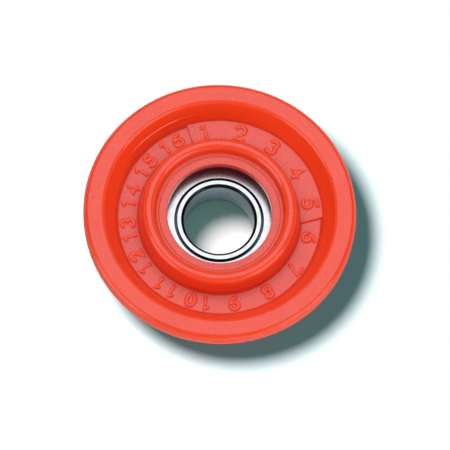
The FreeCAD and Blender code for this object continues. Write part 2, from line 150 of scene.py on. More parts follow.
class BearingSizes(PropertyGroup):
    """Section of the bearing, measured from the axis and from the underside of the pulley."""

    floor: length("Floor", "Underside of the pulley to the lower ring faces", RING_LOW.z / MM)
    top: length("Top", "Underside of the pulley to the upper ring faces", RING_HIGH.z / MM)
    bore_radius: length("Bore radius", "Bore of the inner ring", 8.5)
    bore_chamfer: length("Bore chamfer", "Both ends of the bore", 0.64)
    seat_radius: length("Seat radius", "Outside of the outer ring", 17.5)
    seat_chamfer: length("Seat chamfer", "Outside edges of the outer ring", 0.4)
    face_radius: length("Face radius", "Outer edge of the face of the inner ring", 10.1)
    shoulder_setback: length("Shoulder setback", "Depth of the step beside that face", 1.4)
    land_radius: length("Land radius", "Land of the inner ring", RING_HIGH.x / MM)
    race_radius: length("Race radius", "Round of the race in section", 2.4752)
    race_centre: length("Race centre", "Radius of the middle of that round", 13.0652)
    ring_corner: length("Ring corner", "Broken edges of the inner ring", 0.07)
    shield_bore: length("Shield bore", "Opening of each shield", 10.7)
    shield_fold: length("Shield fold", "Where the sheet begins to step down", 13.6)
    shield_bend: length("Shield bend", "Where the step ends", 14.0)
    shield_edge: length("Shield edge", "Seated edge of each shield", SHIELD_HIGH.x / MM)
    shield_recess: length("Shield recess", "Ring face to the face of a shield", 0.25)
    shield_sheet: length("Shield sheet", "Thickness of the sheet", 0.35)
    shield_joggle: length("Shield joggle", "Depth of the step", 0.4)
    shield_corner: length("Shield corner", "Rounding of the pressed sheet", 0.12)


class NumeralSizes(PropertyGroup):
    """Raised index numbers on the web."""

    count: whole("Count", "Numbers round the web", 16, 1)
    on_pad: whole("On the pad", "Numbers that stand on the raised sector", 5, 0)
    first: angle("First", "Place of the first number", 104.0)
    pad_size: length("Pad numerals", "Height of the numbers on the raised sector", 3.4)
    web_size: length("Web numerals", "Height of the other numbers", 2.95)
    radius: length("Radius", "Middle of the numbers from the axis", 22.0)
    stroke: length("Stroke", "Radius of the round stroke", 0.42)
    foot: length("Foot", "How far the flat foot of a stroke stands out", 0.18)
    foot_rise: length("Foot rise", "Height of that foot above the web", 0.03)
    rise: length("Rise", "Top of a stroke above the web", 0.40)
    pitch: length("Pitch", "Between the two digits of a number", 3.6)
    breadth: real("Breadth", "Width of the digits over their plain width", 1.2)


class FinishColours(PropertyGroup):
    """Base colours of the materials."""

    plastic: colour("Plastic", "Orange moulded plastic", 0.84, 0.048, 0.013)
    plastic_shade: colour("Plastic shade", "Darker clouds and flecks", 0.70, 0.026, 0.0045)
    # Painted light: a brighter orange that stands in for light on steep faces and on the round strokes of
    # the numbers
    plastic_wall: colour("Plastic wall", "Polished steep faces", 0.92, 0.058, 0.0135)
    # Painted shade: darker orange in inside corners, at the feet of the numbers, on the far outer edge and
    # in the mould line
    plastic_corner: colour("Plastic corner", "Inside corners, feet of numbers", 0.48, 0.036, 0.0135)
    # Painted shade: dark orange on the cut back under the upper lip, where little light comes
    plastic_hidden: colour("Plastic hidden", "Cut back under the upper lip", 0.33, 0.016, 0.028)
    # This bloom is laid on more thickly on the left of the web and by the hub as painted shade
    web_haze: colour("Web haze", "Dull bloom on the textured web", 0.665, 0.060, 0.0425)
    web_grain: colour("Web grain", "Darker grain in that bloom", 0.53, 0.026, 0.012)
    nick: colour("Nick", "Small pale nicks in the plastic", 0.86, 0.20, 0.15)
    speck: colour("Speck", "Small dark specks in the plastic", 0.20, 0.016, 0.008)
    ring: colour("Ring steel", "Ground bearing steel", 0.59, 0.61, 0.625)
    shield: colour("Shield steel", "Bright pressed sheet", 0.63, 0.625, 0.67)
    cage: colour("Cage steel", "Pressed ribbon of the cage", 0.52, 0.51, 0.49)
    ball: colour("Ball steel", "Polished balls", 0.80, 0.81, 0.82)
    floor: colour("Floor", "Pale cool floor", 0.15, 0.76, 0.77)
    bore_floor: colour("Floor under the bore", "Pale floor seen through the bore", 0.40, 0.76, 0.77)
    floor_glow: colour("Floor glow", "Cool light left in the shadow", 0.030, 0.040, 0.045)
    bore_glow: colour("Bore glow", "Cool light left under the bore", 0.045, 0.078, 0.062)
    # Painted light: a steel colour of the bore wall's own, set for the shaded floor that it reflects
    bore_wall: colour("Bore wall", "Paler wall of the bore", 0.48, 0.55, 0.61)
    # Dark chamfers are steel that is not ground; the dark step beside the shield is painted shade
    unground: colour("Unground steel", "Dark chamfers and steps", 0.045, 0.069, 0.082)
    surround: colour("Surround", "Studio overhead", 0.12, 0.15, 0.16)
    below: colour("Below", "Pale studio near the floor", 0.55, 0.55, 0.55)


class StageSettings(PropertyGroup):
    """Camera and lamps."""

    tilt: angle("Tilt", "Camera off the axis of the pulley", 20.15)
    roll: angle("Roll", "Turn of the picture", 5.1)
    distance: length("Distance", "Camera to the face of the bearing", 657.6)
    lens: real("Lens", "Focal length in millimetres", 219.2, unit="CAMERA")
    shift_x: real("Shift X", "Sideways shift of the lens", 0.0130)
    shift_y: real("Shift Y", "Upward shift of the lens", -0.01202)
    lamp_distance: length("Lamp distance", "Lamps from the pulley", 700.0)
    key_power: power("Key power", "Power of the main softbox", 2.38)
    key_width: length("Key width", "Across the main softbox", 800.0)
    key_back: angle("Key back", "Main softbox behind the upright", 20.0)
    key_left: angle("Key left", "Main softbox left of the upright", 3.0)
    overhead_power: power("Overhead power", "Power of the wide lamp overhead", 7.45)
    overhead_width: length("Overhead width", "Across the wide lamp overhead", 1150.0)
    overhead_back: angle("Overhead back", "Wide lamp behind the upright", 6.5)
    overhead_left: angle("Overhead left", "Wide lamp left of the upright", 2.5)
    fill_power: power("Fill power", "Power of the lamp in front", 1.9)
    fill_width: length("Fill width", "Across the lamp in front", 380.0)
    fill_rise: angle("Fill rise", "Lamp in front above the floor", 9.0)
    fill_turn: angle("Fill turn", "Direction of the lamp in front from the axis", 293.0)
    card_power: power("Card power", "Power of each side card", 1.15)
    card_width: length("Card width", "Across each side card", 460.0)
    card_height: length("Card height", "Up each side card", 560.0)
    card_rise: angle("Card rise", "Middle of each side card above the floor", 30.0)
    left_card: angle("Left card", "Direction of the left card from the axis", 209.0)
    right_card: angle("Right card", "Direction of the right card from the axis", 330.0)
    shadow_power: power("Shadow power", "Power of the lamp that casts the shadow", 20.2)
    shadow_colour: colour("Shadow lamp colour", "Warm light that shows the floor white", 1.0, 0.210, 0.208)
    shadow_width: length("Shadow lamp width", "Across the lamp that casts the shadow", 139.0)
    shadow_place: position("Shadow lamp place", "Where that lamp hangs", -0.126, -0.035, 0.480)
    shadow_aim: position("Shadow lamp aim", "Where it points, to one side for even light", 0.35, 0.0, 0.0)
    bore_strength: real("Bore strength", "Light on the floor under the bore", 7.8)
    bore_colour: colour("Bore lamp colour", "Warm light that shows that floor white", 1.0, 0.476, 0.465)
    bore_width: angle("Bore width", "Angle across the lamp that shines through the bore", 25.0)
    bore_reach: triple("Bore reach", "Way of the light through the bore, one unit down", (0.43, -0.38, -1.0))


# Modelling


MERGE_DISTANCE = MM * 1e-3
ARC_STEPS = 8
CREASE = math.radians(28)


def pick_up(piece, *others):
    """Selects these pieces and no other, with the first as the active one."""
    bpy.ops.object.select_all(action="DESELECT")
    for item in (piece, *others):
        item.select_set(True)
    bpy.context.view_layer.objects.active = piece


def start_point(name):
    """A new piece in edit mode, drawn down to one vertex at the origin."""
    bpy.ops.mesh.primitive_plane_add(size=MM)
    piece = bpy.context.object
    piece.name = name
    piece.data.name = name
    bpy.ops.object.mode_set(mode="EDIT")
    bpy.ops.mesh.select_mode(type="VERT")
    bpy.ops.mesh.select_all(action="SELECT")
    bpy.ops.mesh.merge(type="CENTER")
    return piece


def draw_section(corners):
    """Draws a closed outline of (radius, height, rounding) corners from the vertex at the origin."""
    points = [Vector((radius, 0.0, height)) for radius, height, rounding in corners]
    rounds = []
    for index, here in enumerate(points):
        rounding = corners[index][2]
        back = (points[index - 1] - here).normalized()
        ahead = (points[(index + 1) % len(points)] - here).normalized()
        half = back.angle(ahead) / 2
        setback = rounding / math.tan(half)
        middle = here + (back + ahead).normalized() * (rounding / math.sin(half))
        side = back.z * ahead.x - back.x * ahead.z
        sweep = math.copysign(math.pi - 2 * half, side)
        rounds.append((here + back * setback, here + ahead * setback, middle, sweep, rounding))
    pen = rounds[0][1]
    bpy.ops.transform.translate(value=pen)
    for entry, leave, middle, sweep, rounding in rounds[1:] + rounds[:1]:
        bpy.ops.mesh.extrude_region_move(TRANSFORM_OT_translate={"value": entry - pen})
        if rounding:
            bpy.ops.mesh.spin(steps=ARC_STEPS, angle=sweep, center=middle, axis=(0, 1, 0))
        pen = leave
    bpy.ops.mesh.select_all(action="SELECT")
    bpy.ops.mesh.remove_doubles(threshold=MERGE_DISTANCE)


def spin_section(steps):
    """Turns the outline once round the axis and points its faces outwards."""
    bpy.ops.mesh.select_all(action="SELECT")
    bpy.ops.mesh.spin(steps=steps, angle=2 * math.pi, center=(0, 0, 0), axis=(0, 0, 1), use_auto_merge=True)
    bpy.ops.mesh.select_all(action="SELECT")
    bpy.ops.mesh.remove_doubles(threshold=MERGE_DISTANCE)
    bpy.ops.mesh.normals_make_consistent(inside=False)


def select_edges(test):
    """Selects the edges whose two ends both pass the test, and nothing else."""
    mesh = bpy.context.edit_object.data
    bpy.ops.mesh.select_mode(type="EDGE")
    bpy.ops.mesh.select_all(action="DESELECT")
    shape = bmesh.from_edit_mesh(mesh)
    for edge in shape.edges:
        edge.select_set(all(test(vertex.co) for vertex in edge.verts))
    bmesh.update_edit_mesh(mesh)


def smooth_shape(piece):
    """Object mode, smooth shading with flat faces kept flat."""
    bpy.ops.object.mode_set(mode="OBJECT")
    pick_up(piece)
    bpy.ops.object.shade_smooth_by_angle(angle=CREASE)
    flats = piece.modifiers.new("Flat faces", "WEIGHTED_NORMAL")
    flats.keep_sharp = True
    bpy.ops.object.modifier_apply(modifier=flats.name)


def turned_piece(name, corners, steps):
    """A finished piece from its section, turned round the axis."""
    piece = start_point(name)
    draw_section(corners)
    spin_section(steps)
    smooth_shape(piece)
    return piece


def dress(piece, body, slot, material, *nodes):
    """Rides a piece on its body, in place of its CAD nodes, in its material."""
    piece.data.materials.clear()
    piece.data.materials.append(material)
    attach(piece, body)
    if nodes:
        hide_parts(*nodes)


# Materials


# Noises: waves in a millimetre, detail and roughness
FINE_GRAIN = (9.0, 3.0, 0.6)
COARSE_GRAIN = (4.5, 3.0, 0.6)
FLECKS = (3.9, 2.0, 0.6)
CLOUDS = (0.16, 3.0, 0.55)
FLOW = (1.0, 3.0, 0.55)
MARKS = (1.0, 3.0, 0.6)
SMEAR = (0.7, 3.0, 0.6)
MOTTLE = (1.6, 3.0, 0.6)
FLOOR_CLOUDS = (0.004, 2.0, 0.5)

# Where each noise begins to count and where it counts in full
FLECK_STEP, CLOUD_STEP, FLOW_STEP = (0.35, 0.65), (0.35, 0.75), (0.45, 0.8)
SMEAR_STEP, MOTTLE_STEP = (0.35, 0.8), (0.3, 0.7)

# Plastic: shares of the darker colours, painted shade among them, what is added to the roughness, heights of
# the bump
CLOUD_SHADE, FLOW_SHADE, FLECK_SHADE = 0.20, 0.15, 0.60
PAINTED_SHADE_SHARE, BLOOM_SHARE, NICK_SHARE, SPECK_SHARE = 0.6, 0.85, 0.7, 0.8
PLASTIC_ROUGH, GRAIN_ROUGH, FLOW_ROUGH, BLOOM_ROUGH = 0.10, 0.05, 0.03, 0.24
GRAIN_RISE, CLOUD_RISE, BLOOM_RISE = 0.3, 0.5, 1.4
FLOW_ALONG, FLOW_ACROSS = 1.3, 0.9
PLASTIC_BUMP = (0.35, 0.02 * MM)
PLASTIC_IOR = 1.60

# Nicks and specks: cells in a millimetre, size in a cell, and the cells that have one
SPOT_CELLS = 0.21
NICK_SIZE, NICK_PICK = (0.030, 0.050), (0.28, 0.30)
SPECK_SIZE, SPECK_PICK = (0.035, 0.055), (0.30, 0.32)

# Steel: shades of the base colour, what is added to the roughness, length of a mark, strength of the bump
SMEAR_SHADE, MOTTLE_SHADE = 0.86, 0.75
MARK_ROUGH, SMEAR_ROUGH = 0.10, 0.06
MARK_ALONG = 2.2
MARK_BUMP = 0.3

# Upward part of the normal from which a face begins to count as level, and where it counts in full
LEVEL = (0.80, 0.985)
# Share of a spread round the axis that counts in full
FULL_SHARE = 0.6


class Value:
    """A socket in a node tree, used in sums like a number."""

    def __init__(self, tree, socket=None):
        self.tree = tree
        self.socket = socket

    def node(self, kind, inputs=None, settings=None, output=0):
        """A new node: its settings, then the values or links of its sockets. Gives one of its outputs."""
        made = self.tree.nodes.new(kind)
        for name, setting in (settings or {}).items():
            setattr(made, name, setting)
        for name, source in (inputs or {}).items():
            if isinstance(source, Value):
                self.tree.links.new(source.socket, made.inputs[name])
            else:
                made.inputs[name].default_value = source
        return Value(self.tree, made.outputs[output])

    def math(self, operation, *terms):
        return self.node("ShaderNodeMath", dict(enumerate(terms)), {"operation": operation})

    def __add__(self, other):
        return self.math("ADD", self, other)

    def __sub__(self, other):
        return self.math("SUBTRACT", self, other)

    def __rsub__(self, other):
        return self.math("SUBTRACT", other, self)

    def __mul__(self, other):
        return self.math("MULTIPLY", self, other)

    def __truediv__(self, other):
        return self.math("DIVIDE", self, other)

    __radd__ = __add__

    def part(self, index):
        """The X, Y or Z part of a vector."""
        return self.node("ShaderNodeSeparateXYZ", {0: self}, output=index)

    def step(self, low, high):
        """0 below low, 1 above high, smooth between them."""
        ends = {0: self, 1: low, 2: high}
        return self.node("ShaderNodeMapRange", ends, {"interpolation_type": "SMOOTHSTEP"})

    def noise(self, scale, detail, roughness):
        inputs = {"Vector": self, "Scale": scale, "Detail": detail, "Roughness": roughness}
        return self.node("ShaderNodeTexNoise", inputs)

    def mix(self, first, second):
        """Between two colours, with this value as the factor."""
        first, second = (end if isinstance(end, Value) else (*end, 1.0) for end in (first, second))
        return self.node("ShaderNodeMix", {0: self, 6: first, 7: second}, {"data_type": "RGBA"}, 2)

    def bump(self, strength, distance):
        return self.node("ShaderNodeBump", {"Strength": strength, "Distance": distance, "Height": self})

    def put_out(self, kind="ShaderNodeOutputMaterial"):
        """Leads a shader to the output of its tree."""
        output = self.tree.nodes.new(kind)
        self.tree.links.new(self.socket, output.inputs[0])


class Millimetres:
    """The lengths of a property group, read in millimetres."""

    def __init__(self, sizes):
        self.sizes = sizes

    def __getattr__(self, name):
        return getattr(self.sizes, name) / MM


def new_finish(name):
    """A new material and the object coordinates in its tree, in millimetres."""
    material = bpy.data.materials.new(name)
    material.use_nodes = True
    material.node_tree.nodes.clear()
    place = Value(material.node_tree).node("ShaderNodeTexCoord", output="Object")
    return material, place.node("ShaderNodeVectorMath", {0: place, "Scale": 1 / MM}, {"operation": "SCALE"})


def split(place):
    """The three parts of a place and its distance from the axis."""
    x, y, z = (place.part(index) for index in range(3))
    return x, y, z, place.math("SQRT", x * x + y * y)


def round_grain(place, along, across):
    """Coordinates that run round the axis: slow along a circle, quick across it."""
    x, y, z, radius = split(place)
    parts = {0: x / radius * along, 1: y / radius * along, 2: (radius + z) * across}
    return place.node("ShaderNodeCombineXYZ", parts)


def on_body(place):
    """Sizes of the moulding, the height of its web, and the height and radius of a place, in millimetres."""
    body = Millimetres(bpy.context.scene.pulley_body)
    return body, body.overall_height - body.dish_depth, *split(place)[2:]


def on_bearing(place):
    """Sizes of the bearing, and the height and radius of a place, in millimetres."""
    return Millimetres(bpy.context.scene.pulley_bearing), *split(place)[2:]


def band(value, low, high, soft):
    """1 between two limits, fading to 0 outside them."""
    return value.step(low - soft, low) * (1 - value.step(high, high + soft))


def around(place, azimuth, spread):
    """1 near one direction from the axis, fading to 0 at the given spread, both in degrees."""
    x, y, _, radius = split(place)
    turn = math.radians(azimuth)
    nearness = (x * math.cos(turn) + y * math.sin(turn)) / radius
    return nearness.step(math.cos(math.radians(spread)), math.cos(math.radians(spread * FULL_SHARE)))


def upright(place):
    """1 on faces that look straight up or down, 0 on steep ones."""
    normal = place.node("ShaderNodeTexCoord", output="Normal")
    return place.math("ABSOLUTE", normal.part(2)).step(*LEVEL)


def orange_plastic(name, colours, face, shaded, dull_and_shade_mask=None, hidden=None):
    """Satin moulded plastic with clouds, flecks, specks and nicks. Masks say where shade is painted, where
    it is matt and where the cut back is painted dark.
    """
    material, place = new_finish(name)
    level = upright(place)
    grain = place.noise(*FINE_GRAIN)
    fleck = place.noise(*FLECKS).step(*FLECK_STEP)
    clouds = place.noise(*CLOUDS)
    flow = round_grain(place, FLOW_ALONG, FLOW_ACROSS).noise(*FLOW)
    shade = clouds.step(*CLOUD_STEP) * CLOUD_SHADE + flow.step(*FLOW_STEP) * FLOW_SHADE
    shade = shade + fleck * FLECK_SHADE
    body = shade.mix(face, colours.plastic_shade)
    # Steep faces take the brighter orange: painted light
    body = (1 - level).mix(body, colours.plastic_wall)
    # Painted shade in corners, at feet, on the far edge and in the mould line
    body = (shaded(place) * PAINTED_SHADE_SHARE).mix(body, colours.plastic_corner)
    rough = PLASTIC_ROUGH + grain * GRAIN_ROUGH + flow * FLOW_ROUGH
    height = level * grain * GRAIN_RISE + clouds * CLOUD_RISE
    # Bloom of the grained mould, laid on more thickly as painted shade by the hub and on the left
    if dull_and_shade_mask:
        dull_and_shade = dull_and_shade_mask(place)
        bloom = fleck.mix(colours.web_haze, colours.web_grain)
        body = (dull_and_shade * level * BLOOM_SHARE).mix(body, bloom)
        rough = rough + dull_and_shade * BLOOM_ROUGH
        height = height + dull_and_shade * level * place.noise(*COARSE_GRAIN) * BLOOM_RISE
    if hidden:
        # Painted shade on the cut back under the upper lip
        body = hidden(place).mix(body, colours.plastic_hidden)
    cells = {"Vector": place, "Scale": SPOT_CELLS}
    spot = place.node("ShaderNodeTexVoronoi", cells, output="Distance")
    pick = place.node("ShaderNodeTexVoronoi", cells, output="Color")
    pick = place.node("ShaderNodeSeparateColor", {0: pick})
    nick = (1 - spot.step(*NICK_SIZE)) * (1 - pick.step(*NICK_PICK))
    speck = (1 - spot.step(*SPECK_SIZE)) * pick.step(*SPECK_PICK)
    body = (nick * NICK_SHARE).mix(body, colours.nick)
    body = (speck * SPECK_SHARE).mix(body, colours.speck)
    bump = height.bump(*PLASTIC_BUMP)
    inputs = {"Base Color": body, "Roughness": rough, "IOR": PLASTIC_IOR, "Normal": bump}
    place.node("ShaderNodeBsdfPrincipled", inputs).put_out()
    return material


def turned_steel(name, base, rough, lines, line_depth, patches=()):
    """Bare steel with fine marks that run round the axis.

    Each patch is a mask, its colour and what is added to its roughness."""
    material, place = new_finish(name)
    marks = round_grain(place, MARK_ALONG, lines).noise(*MARKS)
    smear = place.noise(*SMEAR)
    face = smear.step(*SMEAR_STEP).mix(base, [part * SMEAR_SHADE for part in base])
    rough = rough + marks * MARK_ROUGH + smear * SMEAR_ROUGH
    for mask, bright, more_rough in patches:
        patch = mask(place)
        mottle = place.noise(*MOTTLE).step(*MOTTLE_STEP)
        face = patch.mix(face, mottle.mix(bright, [part * MOTTLE_SHADE for part in bright]))
        rough = rough + patch * more_rough
    bump = marks.bump(MARK_BUMP, line_depth)
    inputs = {"Base Color": face, "Metallic": 1.0, "Roughness": rough, "Normal": bump}
    place.node("ShaderNodeBsdfPrincipled", inputs).put_out()
    return material


# Operators, one for each piece or group of like pieces
# In their masks, the small numbers are margins and fades in millimetres


# Share of each half of the slope, from the ledge, that lies between its two rounded ends
SLOPE_SHARE = 0.8
PAD_CORNER_STEPS = 3
# Sides of the moulding: direction from the axis and spread, in degrees. Painted shade falls on the left and
# at the back, and the front of the slope is rougher.
LEFT, FRONT, BACK = (165.0, 70.0), (275.0, 85.0), (130.0, 95.0)
# How matt each part of the moulding is, the extra bloom on the left and by the hub being painted shade, and
# how dark the painted shade on its edge and its mould line is
WEB_BLOOM, LEFT_SHADE_BLOOM, HUB_SHADE_BLOOM = 0.75, 0.30, 0.30
SLOPE_BLOOM, LIP_BLOOM, EDGE_BLOOM = 1.3, 0.75, 2.0
EDGE_SHADE, LINE_SHADE = 0.6, 0.6


class PULLEY_OT_moulded_body(Operator):
    """Model the moulded body: a turned section with a raised sector on its web"""

    bl_idname = "pulley.moulded_body"
    bl_label = "Moulded Body"

    def execute(self, context):
        body = context.scene.pulley_body
        bearing = context.scene.pulley_bearing
        piece = start_point("moulded_body")
        draw_section(self.section(body, bearing))
        spin_section(body.turn_steps)
        self.fade_ledge(body)
        bpy.ops.object.mode_set(mode="OBJECT")
        sector = self.raised_sector(body)
        pick_up(piece)
        union = piece.modifiers.new("Raised sector", "BOOLEAN")
        union.operation = "UNION"
        union.solver = "EXACT"
        union.object = sector
        bpy.ops.object.modifier_apply(modifier=union.name)
        bpy.data.objects.remove(sector)
        smooth_shape(piece)
        colours = context.scene.pulley_colours
        masks = (self.corners, self.textured, self.under_lip)
        plastic = orange_plastic("satin_plastic", colours, colours.plastic, *masks)
        dress(piece, "wheel", "orange_plastic", plastic, "pulley_body")
        return {"FINISHED"}

    def textured(self, place):
        """Where the mould has a grained texture: web and raised sector, front of the slope of the dish,
        upper lip, outer edge. The extra bloom on the left of the web and by the hub is painted shade.
        """
        body, web, z, radius = on_body(place)
        on_web = band(z, web - 0.2, web + body.pad_height + 0.1, 0.3)
        on_web = on_web * band(radius, body.hub_base - 0.1, body.dish_floor + 0.4, 0.3)
        # More bloom by the hub and on the left side of the web: painted shade
        hub_shade = 1 - radius.step(body.hub_base + 0.2, body.hub_base + 2.0)
        on_web = on_web * (WEB_BLOOM + around(place, *LEFT) * LEFT_SHADE_BLOOM + hub_shade * HUB_SHADE_BLOOM)
        on_slope = band(z, web + 0.8, body.overall_height - 0.9, 0.3)
        on_slope = on_slope * band(radius, body.dish_floor + 0.2, body.dish_mouth - 0.6, 0.3)
        on_slope = on_slope * around(place, *FRONT)
        on_lip = band(z, body.lip_height - 0.1, body.lip_height + 0.1, 0.2)
        on_lip = on_lip * band(radius, body.lip_radius, body.ridge_foot, 0.2)
        on_edge = radius.step(body.rim_radius - 0.5, body.rim_radius - 0.1)
        return on_web + on_slope * SLOPE_BLOOM + on_lip * LIP_BLOOM + on_edge * EDGE_BLOOM

    def corners(self, place):
        """Painted shade on the walls beside the web, the feet of the pad, the far outer edge and the mould
        line on the lip.
        """
        body, web, z, radius = on_body(place)
        inside = band(radius, body.ridge_inner, body.dish_mouth, 0.2)
        beside_web = 1 - band(radius, body.hub_base + 0.4, body.dish_floor - 0.4, 0.3)
        walls = inside * beside_web * band(z, web - 0.5, web + 0.3, 1.6)
        pad_feet = inside * (1 - beside_web) * band(z, web - 0.5, web + 0.12, 0.12)
        edge = radius.step(body.rim_radius - 0.8, body.rim_radius - 0.1) * around(place, *BACK)
        walls = (walls + pad_feet + edge * EDGE_SHADE) * (1 - upright(place))
        line = band(radius, body.witness_radius - 0.10, body.witness_radius + 0.10, 0.04)
        line = line * band(z, body.lip_height - 0.5, body.lip_height - 0.02, 0.02)
        return walls + line * LINE_SHADE

    def under_lip(self, place):
        """Painted shade on the cut back between the upper lip and the bearing, where little light comes."""
        body, _, z, radius = on_body(place)
        edge = body.lip_height - body.lip_edge
        below = 1 - z.step(edge - 0.1, edge + 0.9)
        return below * band(radius, body.lip_radius - 0.1, body.lip_radius + body.lip_undercut, 0.1)

    def section(self, body, bearing):
        """Corners of the moulding, from the lower lip outwards and over the top to the bearing's seat."""
        top = body.overall_height
        web = top - body.dish_depth
        ledge = top - body.ledge_height
        middle = (bearing.floor + bearing.top) / 2
        seat_edge = bearing.seat_radius - bearing.seat_chamfer
        half_line = body.witness_width / 2
        return [
            (body.lip_radius, 0, body.lip_corner),
            (body.relief_inner, 0, body.relief_corner),
            (body.relief_inner, body.relief_depth, body.relief_corner),
            (body.relief_outer, body.relief_depth, body.relief_corner),
            (body.relief_outer, 0, body.relief_corner),
            (body.lower_flange_radius, 0, body.flange_corner),
            (body.lower_flange_radius, body.lower_flange_edge, body.flange_corner),
            (body.groove_point, middle, body.groove_root),
            (body.rim_radius, top - body.flange_edge, body.flange_corner),
            (body.rim_radius, top, body.rim_corner),
            (body.dish_mouth, top, body.dish_mouth_corner),
            (body.ledge_radius, ledge, body.ledge_corner),
            (body.ledge_radius - body.ledge_width, ledge - body.ledge_fall, body.ledge_corner),
            (body.dish_floor, web, body.web_corner),
            (body.hub_base, web, body.web_corner),
            (body.ridge_outer, top, body.ridge_corner),
            (body.ridge_inner, top, body.ridge_corner),
            (body.ridge_foot, body.lip_height, body.ridge_foot_corner),
            (body.witness_radius + half_line, body.lip_height, 0),
            (body.witness_radius, body.lip_height - body.witness_depth, 0),
            (body.witness_radius - half_line, body.lip_height, 0),
            (body.lip_radius, body.lip_height, body.lip_corner),
            (body.lip_radius, body.lip_height - body.lip_edge, body.lip_lower_corner),
            (body.lip_radius + body.lip_undercut, bearing.top, 0),
            (seat_edge, bearing.top, 0),
            (bearing.seat_radius, bearing.top - bearing.seat_chamfer, 0),
            (bearing.seat_radius, bearing.floor + bearing.seat_chamfer, 0),
            (seat_edge, bearing.floor, 0),
            (body.lip_radius, bearing.floor, 0),
        ]

    def fade_ledge(self, body):
        """Lays the ledge into the slope of the dish, away from the arc where it stands out."""
        mesh = bpy.context.edit_object.data
        shape = bmesh.from_edit_mesh(mesh)
        ledge = Vector((body.ledge_radius, body.overall_height - body.ledge_height))
        foot = ledge - Vector((body.ledge_width, body.ledge_fall))
        mouth = Vector((body.dish_mouth, body.overall_height))
        floor = Vector((body.dish_floor, body.overall_height - body.dish_depth))
        upper = ledge.lerp(mouth, SLOPE_SHARE)
        lower = foot.lerp(floor, SLOPE_SHARE)
        for vertex in shape.verts:
            place = vertex.co
            radius = place.xy.length
            straight = lower.x + (place.z - lower.y) * (upper.x - lower.x) / (upper.y - lower.y)
            if not lower.y < place.z < upper.y or abs(radius - straight) > body.ledge_width:
                continue
            aside = abs(math.remainder(math.atan2(place.y, place.x) - body.ledge_turn, math.tau))
            share = min(max((aside - body.ledge_reach) / body.ledge_fade, 0.0), 1.0)
            share = share * share * (3.0 - 2.0 * share)
            place.xy *= 1.0 + share * (straight / radius - 1.0)
        bmesh.update_edit_mesh(mesh)

    def raised_sector(self, body):
        """The raised sector as a body of its own, sunk into the web, the hub and the slope of the dish."""
        web = body.overall_height - body.dish_depth
        top = web + body.pad_height
        inner = (body.ridge_outer + body.hub_base) / 2
        outer = (body.dish_mouth + body.dish_floor) / 2
        pivot = (body.hub_base + body.dish_floor) / 2
        sector = start_point("raised_sector")
        draw_section([(inner, web - MM, 0), (outer, web - MM, 0), (outer, top, 0), (inner, top, 0)])
        spin_section(body.turn_steps)
        skewed = body.pad_start + body.pad_skew
        start = Vector((math.cos(body.pad_start), math.sin(body.pad_start), 0)) * pivot
        start_side = Vector((-math.sin(skewed), math.cos(skewed), 0))
        end_side = Vector((-math.sin(body.pad_end), math.cos(body.pad_end), 0))
        ends = ((start, start_side, "clear_inner"), (Vector(), end_side, "clear_outer"))
        for spot, side, cut_off in ends:
            bpy.ops.mesh.select_all(action="SELECT")
            bpy.ops.mesh.bisect(plane_co=spot, plane_no=side, use_fill=True, **{cut_off: True})

        def on_end(place):
            on_side = any(abs((place - spot).dot(side)) < MERGE_DISTANCE for spot, side, _ in ends)
            return on_side and abs(place.z - top) < MERGE_DISTANCE

        select_edges(on_end)
        bpy.ops.mesh.bevel(offset=body.pad_corner, segments=PAD_CORNER_STEPS, affect="EDGES")
        bpy.ops.mesh.select_all(action="SELECT")
        bpy.ops.mesh.normals_make_consistent(inside=False)
        bpy.ops.object.mode_set(mode="OBJECT")
        return sector


# Strokes of the digits, one unit high


def bow(x, y, width, height, start, end, steps=14):
    """Points along part of an ellipse, angles in degrees."""
    points = []
    for step in range(steps + 1):
        turn = math.radians(start + (end - start) * step / steps)
        points.append((x + width * math.cos(turn), y + height * math.sin(turn)))
    return points


DIGIT_WIDTH = 0.58
STROKE_STEPS = 3
# Rows that close the end of a stroke, from its tip, in degrees
END_ROWS = (89, 68, 45, 22)
SIX = [
    (bow(0.29, 0.30, 0.28, 0.30, 0, 337.5, 15), True),
    (bow(0.52, 0.30, 0.51, 0.70, 98, 176, 8), False),
]
NINE = [([(DIGIT_WIDTH - x, 1 - y) for x, y in points], closed) for points, closed in SIX]
DIGIT_STROKES = {
    "0": [(bow(0.29, 0.5, 0.27, 0.5, 0, 345, 23), True)],
    "1": [([(0.12, 0.80), (0.32, 1.0), (0.32, 0.0)], False)],
    "2": [(bow(0.29, 0.72, 0.26, 0.28, 165, -38) + [(0.03, 0.0), (0.57, 0.0)], False)],
    "3": [(bow(0.27, 0.755, 0.24, 0.245, 150, -72) + bow(0.27, 0.265, 0.28, 0.265, 78, -150), False)],
    "4": [([(0.44, 0.0), (0.44, 1.0), (0.02, 0.30), (0.58, 0.30)], False)],
    "5": [([(0.52, 1.0), (0.12, 1.0), (0.08, 0.57)] + bow(0.27, 0.31, 0.28, 0.31, 118, -148), False)],
    "6": SIX,
    "7": [([(0.02, 1.0), (0.56, 1.0), (0.22, 0.0)], False)],
    "8": [
        (bow(0.29, 0.76, 0.22, 0.24, 0, 337.5, 15), True),
        (bow(0.29, 0.26, 0.27, 0.26, 0, 337.5, 15), True),
    ],
    "9": NINE,
}


